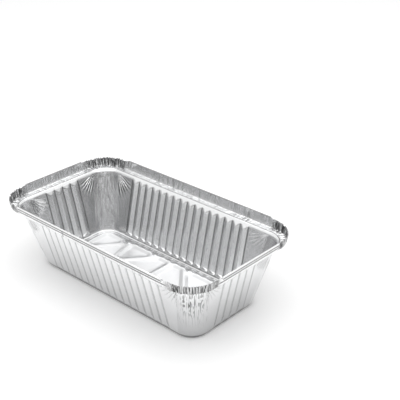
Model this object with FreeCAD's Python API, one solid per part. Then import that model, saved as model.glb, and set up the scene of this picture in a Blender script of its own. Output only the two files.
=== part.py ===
import FreeCAD, Part
import math
import os

# Pressed foil food tray, modelled as the one sheet of foil that it is made from.
# Origin: middle of the footprint, on the surface that the tray stands on.
# X runs along the length, Y across it, Z up. Millimetres.

DRIVING_SIZES = (
    ("rim_length", 210.0, "over the rim, along X"),
    ("rim_width", 114.3, "over the rim, along Y"),
    ("tray_height", 58.5, "table to the top of the rim"),
    ("foil_gauge", 0.1, "thickness of the sheet"),
    ("rim_corner_radius", 23.0, "outside of the rim, in plan"),
    ("upstand_height", 7.3, "rim edge above the ledge"),
    ("upstand_flare", 1.0, "how far the upstand leans out"),
    ("hem_height", 1.9, "folded edge of the straight upstands"),
    ("hem_thickness", 0.6, "folded edge, over all its layers"),
    ("hem_end_gap", 5.5, "plain edge between a hem and its corner"),
    ("ledge_width", 5.2, "flat ledge that a lid rests on"),
    ("strip_run", 1.9, "sloped strip under the ledge, inwards"),
    ("strip_drop", 1.8, "sloped strip under the ledge, downwards"),
    ("wall_run", 11.7, "how far a wall leans in on its way down"),
    ("wall_foot_height", 2.0, "where the wall turns into the base"),
    ("wall_foot_radius", 14.0, "corner of the wall's foot, in plan"),
    ("foot_round_run", 1.6, "turn from the wall to the standing ring"),
    ("ring_width", 2.3, "standing ring round the base"),
    ("panel_slope_run", 3.6, "slope from the ring up to the base panel"),
    ("panel_rise", 2.0, "base panel above the table"),
    ("frame_land", 1.2, "flat edge round the pads of the base panel"),
    ("bar_land", 1.0, "flat top of a stiffening bar"),
    ("pad_depth", 1.0, "pads pressed down between the bars"),
    ("pad_slope_run", 3.4, "sloped side of a pad"),
    ("pad_floor_radius", 1.1, "rounded corner of a pad's floor"),
    ("spine_end", 5.1, "last brace foot on the spine, from the panel's end"),
    ("outer_brace_share", 0.66667, "top of the outer braces, as a share of that foot's reach"),
    ("brace_hub_share", 0.55556, "where the inner braces meet the spine"),
    ("inner_brace_share", 0.18056, "top of the inner brace"),
    ("long_rib_count", 16, "ribs on a long wall"),
    ("long_panel_foot", 8.2, "plain foot beside them, up to the corner"),
    ("short_rib_count", 4, "ribs on a short wall"),
    ("short_panel_foot", 6.55, "plain foot beside them, up to the corner"),
    ("rib_depth", 1.7, "ridge of a rib in front of its valleys"),
    ("rib_top_run", 3.4, "pointed top of a rib"),
    ("rib_foot_run", 4.6, "pointed foot of a rib"),
    ("pleat_count", 18, "pleats round one corner of the rim"),
    ("pleat_depth", 0.7, "fold of a rim pleat"),
    ("pleat_notch", 0.5, "saw-tooth edge of the pleats"),
    ("pleat_lift", 0.3, "pleats running out over the ledge"),
    ("crease_count", 8, "upright creases in one corner of the wall"),
    ("crease_depth", 0.35, "fold of a wall crease"),
    ("fan_fold_count", 4, "slanting folds at the top of each corner panel"),
    ("long_fan_share", 0.7653, "length of those folds on a long wall, as a share of the panel"),
    ("short_fan_share", 0.8357, "their length on a short wall"),
    ("fan_depth", 0.35, "height of the slanting folds"),
    ("fan_first_angle", 10.0, "first slanting fold below the ledge, degrees"),
    ("fan_last_angle", 58.0, "last slanting fold below the ledge, degrees"),
)

doc = FreeCAD.newDocument("foil_container")
sheet = doc.addObject("Spreadsheet::Sheet", "sizes")
for row, (alias, value, note) in enumerate(DRIVING_SIZES, start=1):
    sheet.set(f"A{row}", note)
    sheet.set(f"B{row}", str(value))
    sheet.setAlias(f"B{row}", alias)
doc.recompute()


def size(alias):
    return float(sheet.get(alias))


def count(alias):
    return int(round(size(alias)))


# Section through the sheet, as (inset from the rim's outside, height).
# It runs from the top of the rim, down the wall, to the base panel.

GAUGE = size("foil_gauge")
HEIGHT = size("tray_height")
LEDGE_Z = HEIGHT - size("upstand_height")
WALL_TOP_Z = LEDGE_Z - size("strip_drop")
TOP, LEDGE_EDGE, CREASE, WALL_TOP, WALL_FOOT, RING_EDGE, RING_INNER, PANEL = range(8)


def inner_section():
    """Inside face of the sheet."""
    top = size("hem_thickness")
    ledge_edge = top + size("upstand_flare")
    crease = ledge_edge + size("ledge_width")
    wall_top = crease + size("strip_run")
    wall_foot = wall_top + size("wall_run")
    ring_edge = wall_foot + size("foot_round_run")
    ring_inner = ring_edge + size("ring_width")
    panel = ring_inner + size("panel_slope_run")
    return [
        (top, HEIGHT),
        (ledge_edge, LEDGE_Z),
        (crease, LEDGE_Z),
        (wall_top, WALL_TOP_Z),
        (wall_foot, size("wall_foot_height")),
        (ring_edge, GAUGE),
        (ring_inner, GAUGE),
        (panel, size("panel_rise") + GAUGE),
    ]


def offset_section(section, distance):
    """Outside face: the section moved outwards and down by the gauge, with mitred corners."""
    directions = []
    for (s0, z0), (s1, z1) in zip(section, section[1:]):
        run = math.hypot(s1 - s0, z1 - z0)
        directions.append(((s1 - s0) / run, (z1 - z0) / run))
    directions.append((1.0, 0.0))
    moved = []
    for index, (s, z) in enumerate(section):
        after = directions[index]
        before = directions[index - 1] if index else after
        mitre = 1.0 + before[0] * after[0] + before[1] * after[1]
        out_s = (before[1] + after[1]) / mitre
        out_z = -(before[0] + after[0]) / mitre
        if index == 0:
            out_s = 1.0 / after[1]
            out_z = 0.0
        moved.append((s + out_s * distance, z + out_z * distance))
    return moved


INNER = inner_section()
OUTER = offset_section(INNER, GAUGE)


def plan_radius(inset):
    """Corner radius in plan at an inset: the rim and the foot each keep one centre."""
    if inset < (INNER[WALL_TOP][0] + INNER[WALL_FOOT][0]) / 2:
        return size("rim_corner_radius") - inset
    return size("wall_foot_radius") + INNER[WALL_FOOT][0] - inset


# Plan: four sides and four corners, taken anticlockwise from the +X, +Y corner.
# A side is held by its outward normal; u runs along it and s inwards from the rim.

HALF_LENGTH = size("rim_length") / 2
HALF_WIDTH = size("rim_width") / 2
SIDE_NORMALS = ((0, 1), (-1, 0), (0, -1), (1, 0))


def side_halves(side):
    """Half of the tray across the side, and half of it along the side."""
    if side % 2 == 0:
        return HALF_WIDTH, HALF_LENGTH
    return HALF_LENGTH, HALF_WIDTH


def side_point(side, u, inset, height):
    normal_x, normal_y = SIDE_NORMALS[side]
    across, _ = side_halves(side)
    reach = across - inset
    return FreeCAD.Vector(normal_x * reach - normal_y * u, normal_y * reach + normal_x * u, height)


def straight_half(side, inset, radius):
    _, along = side_halves(side)
    return along - inset - radius


def corner_point(corner, share, inset, radius, height, lift=0.0):
    """Point on a corner arc; share 0 to 1 goes round it, lift pushes it outwards."""
    angle = math.radians(90.0 * (corner + share))
    centre_x = math.copysign(HALF_LENGTH - inset - radius, math.cos(math.radians(45 + 90 * corner)))
    centre_y = math.copysign(HALF_WIDTH - inset - radius, math.sin(math.radians(45 + 90 * corner)))
    reach = radius + lift
    return FreeCAD.Vector(
        centre_x + reach * math.cos(angle), centre_y + reach * math.sin(angle), height
    )


# Faces are gathered here and sewn into one shell.

faces = []


def add_polygon(points):
    faces.append(Part.Face(Part.makePolygon(list(points) + [points[0]])))


def add_strip(row_a, row_b):
    """Triangles between two rows of points that run the same way."""
    a = 0
    b = 0
    last_a = len(row_a) - 1
    last_b = len(row_b) - 1
    while a < last_a or b < last_b:
        step_a = (a + 1) / last_a if a < last_a else math.inf
        step_b = (b + 1) / last_b if b < last_b else math.inf
        if step_a <= step_b:
            add_polygon([row_a[a], row_a[a + 1], row_b[b]])
            a += 1
        else:
            add_polygon([row_a[a], row_b[b + 1], row_b[b]])
            b += 1


def between(low, high, share):
    return low + (high - low) * share


# Corners: rim pleats above the crease line, upright creases in the wall below it.

WALL_STEPS = (1 / 3, 2 / 3)


def pleated_row(corner, inset, height, tooth_drop, tooth_lift):
    """Rim row of one corner, folded in at every other point."""
    steps = 2 * count("pleat_count")
    radius = plan_radius(inset)
    row = []
    for step in range(steps + 1):
        folded = step % 2
        depth = size("pleat_depth") * (0.8 + 0.2 * math.cos(step * 2.4 + corner))
        z = height + folded * (tooth_lift - tooth_drop)
        row.append(corner_point(corner, step / steps, inset, radius, z, -folded * depth))
    return row


def creased_row(corner, inset, radius, height, depth):
    """Wall row of one corner, with upright creases of the given depth."""
    steps = 2 * count("crease_count")
    row = []
    for step in range(steps + 1):
        lift = depth * math.sin(math.pi * step / steps) * (-1) ** step
        row.append(corner_point(corner, step / steps, inset, radius, height, lift))
    return row


def corner_rows(corner, section):
    """All rows of one corner, from the rim's top edge to the base panel."""
    rows = [
        pleated_row(corner, *section[TOP], size("pleat_notch"), 0.0),
        pleated_row(corner, *section[LEDGE_EDGE], 0.0, size("pleat_lift")),
    ]
    inset, height = section[CREASE]
    rows.append(creased_row(corner, inset, plan_radius(inset), height, 0.0))
    top_inset, top_z = section[WALL_TOP]
    foot_inset, foot_z = section[WALL_FOOT]
    top_radius = plan_radius(top_inset)
    foot_radius = plan_radius(foot_inset)
    rows.append(creased_row(corner, top_inset, top_radius, top_z, size("crease_depth") / 2))
    for share in WALL_STEPS:
        inset = between(top_inset, foot_inset, share)
        radius = between(top_radius, foot_radius, share)
        height = between(top_z, foot_z, share)
        rows.append(creased_row(corner, inset, radius, height, size("crease_depth")))
    for level in (WALL_FOOT, RING_EDGE, RING_INNER, PANEL):
        inset, height = section[level]
        rows.append(creased_row(corner, inset, plan_radius(inset), height, 0.0))
    return rows


def build_corners(section):
    for corner in range(4):
        rows = corner_rows(corner, section)
        for upper, lower in zip(rows, rows[1:]):
            add_strip(upper, lower)


# Ribbed walls: each rib is a ridge with a pointed top and foot between two valley lines.


def valley_positions(side):
    """Valley lines along a side, evenly spaced between the two plain panels."""
    wall = "long" if side % 2 == 0 else "short"
    ribs = count(f"{wall}_rib_count")
    foot_inset = INNER[WALL_FOOT][0]
    reach = straight_half(side, foot_inset, plan_radius(foot_inset)) - size(f"{wall}_panel_foot")
    return [between(-reach, reach, index / ribs) for index in range(ribs + 1)]


def wall_inset(section, height):
    top_inset, top_z = section[WALL_TOP]
    foot_inset, foot_z = section[WALL_FOOT]
    return between(top_inset, foot_inset, (top_z - height) / (top_z - foot_z))


def build_ribs(side, section):
    top_inset, top_z = section[WALL_TOP]
    foot_inset, foot_z = section[WALL_FOOT]
    ridge_top_z = WALL_TOP_Z - size("rib_top_run")
    ridge_foot_z = size("wall_foot_height") + size("rib_foot_run")
    depth = size("rib_depth")
    valleys = valley_positions(side)
    for left, right in zip(valleys, valleys[1:]):
        middle = (left + right) / 2
        ridge_top = side_point(side, middle, wall_inset(section, ridge_top_z) + depth, ridge_top_z)
        ridge_foot = side_point(side, middle, wall_inset(section, ridge_foot_z) + depth, ridge_foot_z)
        left_top = side_point(side, left, top_inset, top_z)
        left_foot = side_point(side, left, foot_inset, foot_z)
        right_top = side_point(side, right, top_inset, top_z)
        right_foot = side_point(side, right, foot_inset, foot_z)
        add_polygon([left_top, ridge_top, ridge_foot, left_foot])
        add_polygon([ridge_top, right_top, right_foot, ridge_foot])
        add_polygon([left_top, right_top, ridge_top])
        add_polygon([left_foot, ridge_foot, right_foot])


# Plain panels between the ribs and the corners, with a fan of slanting folds at the top.


def corner_end(side, end, section, share):
    """Point where a panel meets its corner; share 0 at the wall's top, 1 at its foot."""
    top_inset, top_z = section[WALL_TOP]
    foot_inset, foot_z = section[WALL_FOOT]
    inset = between(top_inset, foot_inset, share)
    radius = between(plan_radius(top_inset), plan_radius(foot_inset), share)
    u = end * straight_half(side, inset, radius)
    return side_point(side, u, inset, between(top_z, foot_z, share))


def build_panel(side, end, section):
    """end is +1 or -1, the end of the side along u."""
    valley_u = end * max(valley_positions(side))
    valley_top = side_point(side, valley_u, *section[WALL_TOP])
    valley_foot = side_point(side, valley_u, *section[WALL_FOOT])
    apex = corner_end(side, end, section, 0.0)
    wall = "long" if side % 2 == 0 else "short"
    reach = (valley_top - apex).Length * size(f"{wall}_fan_share")
    along = (valley_top - apex).normalize()
    down = (valley_foot - valley_top).normalize()
    inwards = FreeCAD.Vector(-SIDE_NORMALS[side][0], -SIDE_NORMALS[side][1], 0)
    steps = 2 * count("fan_fold_count")
    middle_row = []
    end_row = []
    for step in range(steps + 1):
        angle = math.radians(between(size("fan_first_angle"), size("fan_last_angle"), step / steps))
        ray = along * math.cos(angle) + down * math.sin(angle)
        height = size("fan_depth") * (step % 2)
        middle_row.append(apex + ray * (reach * 0.55) + inwards * height)
        end_row.append(apex + ray * reach)
    for step in range(steps):
        add_polygon([apex, middle_row[step], middle_row[step + 1]])
    add_strip(middle_row, end_row)
    corner_edge = [corner_end(side, end, section, share) for share in (1.0, *reversed(WALL_STEPS))]
    add_polygon([apex, valley_top, end_row[0], middle_row[0]])
    add_polygon([valley_top, valley_foot, *corner_edge, apex, middle_row[-1], *reversed(end_row)])


# Rim of a straight side: upstand, hem, ledge and sloped strip.


def hem_half(side, inset):
    return straight_half(side, inset, plan_radius(inset)) - size("hem_end_gap")


def side_row(side, section, level):
    """The two ends of a straight level, where the corner arcs start."""
    inset, height = section[level]
    half = straight_half(side, inset, plan_radius(inset))
    return [side_point(side, -half, inset, height), side_point(side, half, inset, height)]


def hem_outline():
    """Section of the folded edge outside the upstand, from its top to its lower fold."""
    top_inset, top_z = OUTER[TOP]
    ledge_inset, ledge_z = OUTER[LEDGE_EDGE]
    thickness = size("hem_thickness")
    hem_foot_z = HEIGHT - size("hem_height")
    foot_share = (top_z - hem_foot_z) / (top_z - ledge_z)
    return [
        (top_inset, top_z),
        (thickness * 0.25, top_z),
        (0.0, top_z - thickness * 0.4),
        (0.0, hem_foot_z + thickness * 0.5),
        (thickness * 0.3, hem_foot_z),
        (between(top_inset, ledge_inset, foot_share), hem_foot_z),
    ]


def build_rim_edge(side):
    """Top edge of the upstand, with the hem and its two cut ends."""
    half = hem_half(side, INNER[TOP][0])
    outline = hem_outline()
    inner_left, inner_right = side_row(side, INNER, TOP)
    outer_left, outer_right = side_row(side, OUTER, TOP)
    hem_left = [side_point(side, -half, s, z) for s, z in outline]
    hem_right = [side_point(side, half, s, z) for s, z in outline]
    top_left = side_point(side, -half, *INNER[TOP])
    top_right = side_point(side, half, *INNER[TOP])
    add_polygon([inner_left, top_left, hem_left[0], outer_left])
    add_polygon([inner_right, top_right, hem_right[0], outer_right])
    add_polygon([top_left, top_right, hem_right[0], hem_right[1], hem_left[1], hem_left[0]])
    for index in range(1, len(outline) - 1):
        add_polygon([hem_left[index], hem_right[index], hem_right[index + 1], hem_left[index + 1]])
    add_polygon(hem_left)
    add_polygon(hem_right)
    ledge_left, ledge_right = side_row(side, INNER, LEDGE_EDGE)
    add_polygon([inner_left, top_left, top_right, inner_right, ledge_right, ledge_left])
    ledge_left, ledge_right = side_row(side, OUTER, LEDGE_EDGE)
    add_polygon(
        [
            outer_left,
            hem_left[0],
            hem_left[-1],
            hem_right[-1],
            hem_right[0],
            outer_right,
            ledge_right,
            ledge_left,
        ]
    )


def build_side(side, section):
    """One straight side of one face of the sheet, from the ledge to the base panel."""
    valleys = valley_positions(side)
    valley_tops = [side_point(side, u, *section[WALL_TOP]) for u in valleys]
    valley_feet = [side_point(side, u, *section[WALL_FOOT]) for u in valleys]
    rows = [side_row(side, section, level) for level in range(len(section))]
    rows[WALL_TOP] = [rows[WALL_TOP][0], *valley_tops, rows[WALL_TOP][1]]
    rows[WALL_FOOT] = [rows[WALL_FOOT][0], *valley_feet, rows[WALL_FOOT][1]]
    for upper in (LEDGE_EDGE, CREASE, WALL_FOOT, RING_EDGE, RING_INNER):
        add_polygon([*rows[upper], *reversed(rows[upper + 1])])
    build_ribs(side, section)
    build_panel(side, 1, section)
    build_panel(side, -1, section)


# Base panel: a flat frame, a spine and braces, with sunk pads between them.

PAD_CORNER_STEPS = 3


def clip_outline(points, normal, limit):
    """Part of a convex outline that lies at least limit along the normal."""
    kept = []
    for index, point in enumerate(points):
        before = points[index - 1]
        reach = point[0] * normal[0] + point[1] * normal[1] - limit
        reach_before = before[0] * normal[0] + before[1] * normal[1] - limit
        if reach * reach_before < 0:
            share = reach_before / (reach_before - reach)
            kept.append(
                (between(before[0], point[0], share), between(before[1], point[1], share))
            )
        if reach >= 0:
            kept.append(point)
    return kept


def shrink_outline(points, distances):
    """Move each side of a convex anticlockwise outline inwards by its own distance."""
    core = list(points)
    for index, (x0, y0) in enumerate(points):
        x1, y1 = points[(index + 1) % len(points)]
        run = math.hypot(x1 - x0, y1 - y0)
        normal = ((y0 - y1) / run, (x1 - x0) / run)
        core = clip_outline(core, normal, x0 * normal[0] + y0 * normal[1] + distances[index])
    return core


def grow_outline(core, radius):
    """Outline at a distance round a convex core, its corners arcs of short sides."""
    grown = []
    for index, (x, y) in enumerate(core):
        back = core[index - 1]
        ahead = core[(index + 1) % len(core)]
        heading_in = math.atan2(y - back[1], x - back[0])
        turn = (math.atan2(ahead[1] - y, ahead[0] - x) - heading_in) % math.tau
        for step in range(PAD_CORNER_STEPS + 1):
            heading = heading_in + turn * step / PAD_CORNER_STEPS
            grown.append((x + radius * math.sin(heading), y - radius * math.cos(heading)))
    return grown


def quarter_pads():
    """Fields between the bars in the +X, +Y quarter, each with the land beside each side."""
    frame = size("frame_land")
    bar = size("bar_land") / 2
    panel_inset = INNER[PANEL][0]
    frame_x = HALF_LENGTH - panel_inset
    frame_y = HALF_WIDTH - panel_inset
    spine_reach = frame_x - size("spine_end")
    outer_foot = (spine_reach, 0.0)
    outer_top = (spine_reach * size("outer_brace_share"), frame_y)
    hub = (spine_reach * size("brace_hub_share"), 0.0)
    inner_top = (spine_reach * size("inner_brace_share"), frame_y)
    return [
        ([(0.0, 0.0), hub, inner_top, (0.0, frame_y)], [bar, bar, frame, bar]),
        ([hub, outer_top, inner_top], [bar, frame, bar]),
        ([hub, outer_foot, outer_top], [bar, bar, bar]),
        (
            [outer_foot, (frame_x, 0.0), (frame_x, frame_y), outer_top],
            [bar, frame, frame, bar],
        ),
    ]


def mirrored(outline, sign_x, sign_y):
    points = [(x * sign_x, y * sign_y) for x, y in outline]
    return points if sign_x * sign_y > 0 else points[::-1]


def pad_outlines():
    """Upper and lower outline of every pad, worked out for one quarter and mirrored."""
    pairs = []
    floor_radius = size("pad_floor_radius")
    edge_radius = floor_radius + size("pad_slope_run")
    for corners, lands in quarter_pads():
        core = shrink_outline(corners, [land + edge_radius for land in lands])
        upper = grow_outline(core, edge_radius)
        lower = grow_outline(core, floor_radius)
        for sign_x in (1, -1):
            for sign_y in (1, -1):
                pairs.append((mirrored(upper, sign_x, sign_y), mirrored(lower, sign_x, sign_y)))
    return pairs


def panel_outline(section):
    """Edge of the base panel, point for point the last row of the sides and corners."""
    outline = []
    inset, height = section[PANEL]
    for corner in range(4):
        outline += creased_row(corner, inset, plan_radius(inset), height, 0.0)
    return outline


def build_base(section):
    panel_z = section[PANEL][1]
    pad_z = panel_z - size("pad_depth")
    land_wires = [Part.makePolygon(panel_outline(section) + panel_outline(section)[:1])]
    for upper, lower in pad_outlines():
        upper_row = [FreeCAD.Vector(x, y, panel_z) for x, y in upper]
        lower_row = [FreeCAD.Vector(x, y, pad_z) for x, y in lower]
        land_wires.append(Part.makePolygon(upper_row + upper_row[:1]))
        add_polygon(lower_row)
        for index in range(len(upper_row)):
            add_polygon(
                [upper_row[index - 1], upper_row[index], lower_row[index], lower_row[index - 1]]
            )
    faces.append(Part.makeFace(land_wires, "Part::FaceMakerBullseye"))


# The sheet: both of its faces and the rim edge between them, sewn into one solid.

for face_section in (INNER, OUTER):
    build_corners(face_section)
    build_base(face_section)
    for side_index in range(4):
        build_side(side_index, face_section)
for corner_index in range(4):
    add_strip(corner_rows(corner_index, INNER)[0], corner_rows(corner_index, OUTER)[0])
for side_index in range(4):
    build_rim_edge(side_index)

skin = Part.makeShell(faces)
skin.sewShape()
tray_solid = Part.makeSolid(skin)
if tray_solid.Volume < 0:
    tray_solid.reverse()

tray = doc.addObject("Part::Feature", "foil_tray")
tray.Label = "foil_tray"
tray.Shape = tray_solid
tray.Placement = FreeCAD.Placement()
doc.recompute()

# Check every object before anything is written.

for item in doc.Objects:
    if "Invalid" in item.State or "Error" in item.State:
        raise RuntimeError(f"{item.Name} did not recompute: {item.State}")
if tray.Shape.isNull() or not tray.Shape.isValid() or not tray.Shape.isClosed():
    raise RuntimeError("the foil sheet is not one closed valid solid")

os.makedirs("parts", exist_ok=True)
tray.Shape.exportStep(f"parts/{tray.Label}.step")
box = tray.Shape.BoundBox
print(f"faces {len(tray.Shape.Faces)}, solids {len(tray.Shape.Solids)}")
print(f"box {box.XLength:.2f} x {box.YLength:.2f} x {box.ZLength:.2f} mm, floor {box.ZMin:.3f}")
print(f"foil volume {tray.Shape.Volume:.0f} mm3, area {tray.Shape.Area:.0f} mm2")
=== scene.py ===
"""Foil food container: the pressed sheet with its fine folds, on a pale studio floor.

The sheet is laid out row by row in millimetres. A Geometry Nodes tree presses the ribs, pleats,
creases and slanting folds into it, and the result is given its gauge and scaled to metres.
"""

import logging
import math
from dataclasses import dataclass, field, replace
from enum import Enum
from typing import Any, Sequence

import bpy
import numpy as np
from mathutils import Matrix, Vector
from mathutils.geometry import delaunay_2d_cdt


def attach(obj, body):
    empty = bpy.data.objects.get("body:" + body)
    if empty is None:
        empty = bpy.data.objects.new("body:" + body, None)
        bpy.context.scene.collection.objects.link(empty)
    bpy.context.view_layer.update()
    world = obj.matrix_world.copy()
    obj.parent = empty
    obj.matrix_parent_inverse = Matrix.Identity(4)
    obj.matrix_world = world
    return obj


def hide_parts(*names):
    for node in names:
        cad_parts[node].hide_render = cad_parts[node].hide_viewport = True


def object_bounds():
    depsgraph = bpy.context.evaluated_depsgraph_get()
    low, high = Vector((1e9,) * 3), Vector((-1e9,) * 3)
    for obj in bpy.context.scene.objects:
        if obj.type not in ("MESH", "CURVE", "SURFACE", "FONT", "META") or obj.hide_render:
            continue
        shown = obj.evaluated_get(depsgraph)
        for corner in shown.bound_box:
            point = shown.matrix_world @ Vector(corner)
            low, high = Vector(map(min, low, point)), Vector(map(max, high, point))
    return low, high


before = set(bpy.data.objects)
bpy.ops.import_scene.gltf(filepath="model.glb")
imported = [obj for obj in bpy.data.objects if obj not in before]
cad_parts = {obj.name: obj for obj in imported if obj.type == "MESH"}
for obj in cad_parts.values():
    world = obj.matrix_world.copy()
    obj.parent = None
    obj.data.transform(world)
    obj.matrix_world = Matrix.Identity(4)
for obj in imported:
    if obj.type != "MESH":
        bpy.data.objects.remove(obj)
CAD_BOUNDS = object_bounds()

LOG = logging.getLogger("foil_container")
MILLIMETRE = 0.001
Point2 = tuple[float, float]


def blend_value(low: float, high: float, share: float) -> float:
    """Value between low and high at a share of the way."""
    return low + (high - low) * share


class Level(Enum):
    """Corners of the section through the sheet, from the rim down to the base panel."""

    TOP = 0
    LEDGE_EDGE = 1
    CREASE = 2
    WALL_TOP = 3
    WALL_FOOT = 4
    RING_EDGE = 5
    RING_INNER = 6
    PANEL = 7


@dataclass(frozen=True)
class SheetSizes:
    """Sizes of the pressed sheet, in millimetres."""

    rim_length: float = 210.0
    rim_width: float = 114.3
    tray_height: float = 58.5
    foil_gauge: float = 0.1
    rim_corner_radius: float = 23.0
    upstand_height: float = 7.3
    upstand_flare: float = 1.0
    hem_height: float = 1.9
    hem_thickness: float = 0.6
    hem_bevel: float = 0.2
    hem_end_gap: float = 5.5
    ledge_width: float = 5.2
    strip_run: float = 1.9
    strip_drop: float = 1.8
    wall_run: float = 11.7
    wall_foot_height: float = 2.0
    wall_foot_radius: float = 14.0
    foot_round_run: float = 1.6
    ring_width: float = 2.3
    panel_slope_run: float = 3.6
    panel_rise: float = 2.0

    def section(self) -> dict[Level, Point2]:
        """Inside face of the sheet, as (inset from the rim's outside, height) for each level."""
        top = self.hem_thickness
        ledge_edge = top + self.upstand_flare
        crease = ledge_edge + self.ledge_width
        wall_top = crease + self.strip_run
        wall_foot = wall_top + self.wall_run
        ring_edge = wall_foot + self.foot_round_run
        ring_inner = ring_edge + self.ring_width
        panel = ring_inner + self.panel_slope_run
        ledge_z = self.tray_height - self.upstand_height
        return {
            Level.TOP: (top, self.tray_height),
            Level.LEDGE_EDGE: (ledge_edge, ledge_z),
            Level.CREASE: (crease, ledge_z),
            Level.WALL_TOP: (wall_top, ledge_z - self.strip_drop),
            Level.WALL_FOOT: (wall_foot, self.wall_foot_height),
            Level.RING_EDGE: (ring_edge, self.foil_gauge),
            Level.RING_INNER: (ring_inner, self.foil_gauge),
            Level.PANEL: (panel, self.panel_rise + self.foil_gauge),
        }


@dataclass(frozen=True)
class PressSizes:
    """Sizes of what is pressed into the sheet, in millimetres unless a name says otherwise."""

    rib_depth: float = 1.7
    rib_top_run: float = 3.4
    rib_foot_run: float = 3.0
    rib_rounding: float = 0.12
    rib_foot_rounding: float = 0.5
    pleat_depth: float = 0.9
    fine_fold_depth: float = 0.3
    pleat_notch: float = 1.3
    crease_depth: float = 0.38
    fan_depth: float = 0.75
    fan_pitch_degrees: float = 12.0
    upstand_ripple: float = 0.10
    crumple_depth: float = 0.4
    seed: float = 4.0


@dataclass(frozen=True)
class ShadeSizes:
    """How much painted shade darkens the foil's colour where it turns away, is folded tight or sits low, from 0
    to 1.
    """

    foot: float = 0.08
    rib_valley: float = 0.92
    outer_rib_valley: float = 0.6
    long_rib_face: float = 0.3
    short_rib_face: float = 0.24
    short_ribs: float = 0.2
    rib_foot: float = 0.6
    outer_foot: Sequence[float] = (0.3, 0.45)
    panels: Sequence[float] = (0.0, 0.34, 0.13, 0.1)
    corners: Sequence[float] = (0.3, 0.32, 0.25, 0.1)
    outer_pleats: float = 0.3
    foot_line: float = 0.88
    upstand_line: float = 0.92
    inside_dashes: float = 0.35


@dataclass(frozen=True)
class BaseSizes:
    """Bars and sunk pads of the base panel, in millimetres."""

    frame_land: float = 1.2
    bar_land: float = 1.0
    pad_depth: float = 1.0
    pad_slope_run: float = 3.4
    pad_floor_radius: float = 1.1
    spine_end: float = 5.1
    outer_brace_share: float = 0.667
    brace_hub_share: float = 0.556
    inner_brace_share: float = 0.18
    point_spacing: float = 1.4
    # painted shade over the base panel, and more of it on the pads' slopes, from 0 to 1
    shade: float = 0.1
    slope_shade: float = 0.3


@dataclass(frozen=True)
class Row:
    """One loop round the tray: where it runs and which part of the section it is on.

    bend is 1 in the middle of a rounded bend of the section and less beside it.
    """

    inset: float
    height: float
    radius: float
    level: Level
    drop: float
    bend: float = 0.0


@dataclass(frozen=True)
class Column:
    """One line down the sheet, on a side or on a corner.

    place is a fixed distance along the side, or, where on_panel or on_corner is set, a share of
    the way to the corner or round it. A column with rim_only set ends at the ledge's inner edge.
    """

    index: int
    place: float
    on_corner: bool = False
    on_panel: bool = False
    rib_phase: float = 0.0
    in_ribs: bool = False
    rim_only: bool = False

    def crosses(self, row: Row) -> bool:
        """Whether the column has a point on a row."""
        return not self.rim_only or row.level.value <= Level.CREASE.value


class SheetPlan:
    """Plan of the tray: four sides and four corners, anticlockwise from the +X, +Y corner."""

    SIDE_NORMALS = ((0, 1), (-1, 0), (0, -1), (1, 0))

    def __init__(self, sizes: SheetSizes) -> None:
        """Keep the sizes and the section that follows from them."""
        self.sizes = sizes
        self.section = sizes.section()
        self.half_length = sizes.rim_length / 2
        self.half_width = sizes.rim_width / 2

    def rim_radius(self, inset: float) -> float:
        """Corner radius above the wall, where every loop keeps the rim's centre."""
        return self.sizes.rim_corner_radius - inset

    def foot_radius(self, inset: float) -> float:
        """Corner radius at the wall's foot and below it."""
        return self.sizes.wall_foot_radius + self.section[Level.WALL_FOOT][0] - inset

    def wall_radius(self, inset: float) -> float:
        """Corner radius on the wall, which changes evenly from its top to its foot."""
        top = self.section[Level.WALL_TOP][0]
        foot = self.section[Level.WALL_FOOT][0]
        share = (inset - top) / (foot - top)
        return blend_value(self.rim_radius(top), self.foot_radius(foot), share)

    def side_halves(self, side: int) -> Point2:
        """Half of the tray across a side, and half of it along the side."""
        if side % 2 == 0:
            return self.half_width, self.half_length
        return self.half_length, self.half_width

    def straight_half(self, side: int, inset: float, radius: float) -> float:
        """Half the length of a side's straight part at an inset."""
        return self.side_halves(side)[1] - inset - radius

    def side_point(self, side: int, along: float, inset: float) -> Point2:
        """Point of a side in plan."""
        normal_x, normal_y = self.SIDE_NORMALS[side]
        reach = self.side_halves(side)[0] - inset
        return normal_x * reach - normal_y * along, normal_y * reach + normal_x * along

    def corner_point(self, corner: int, share: float, inset: float, radius: float) -> Point2:
        """Point of a corner arc in plan."""
        middle = math.radians(45 + 90 * corner)
        centre_x = math.copysign(self.half_length - inset - radius, math.cos(middle))
        centre_y = math.copysign(self.half_width - inset - radius, math.sin(middle))
        angle = math.radians(90 * (corner + share))
        return centre_x + radius * math.cos(angle), centre_y + radius * math.sin(angle)


@dataclass
class RibField:
    """Ribs of one wall: how many, and the plain foot left beside them."""

    count: int
    panel_foot: float
    steps: Sequence[float] = (0.0, 0.1, 0.28, 0.42, 0.5, 0.58, 0.72, 0.9)

    def reach(self, plan: SheetPlan, side: int) -> float:
        """Distance from the middle of the side to the last valley line."""
        inset = plan.section[Level.WALL_FOOT][0]
        return plan.straight_half(side, inset, plan.foot_radius(inset)) - self.panel_foot


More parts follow.
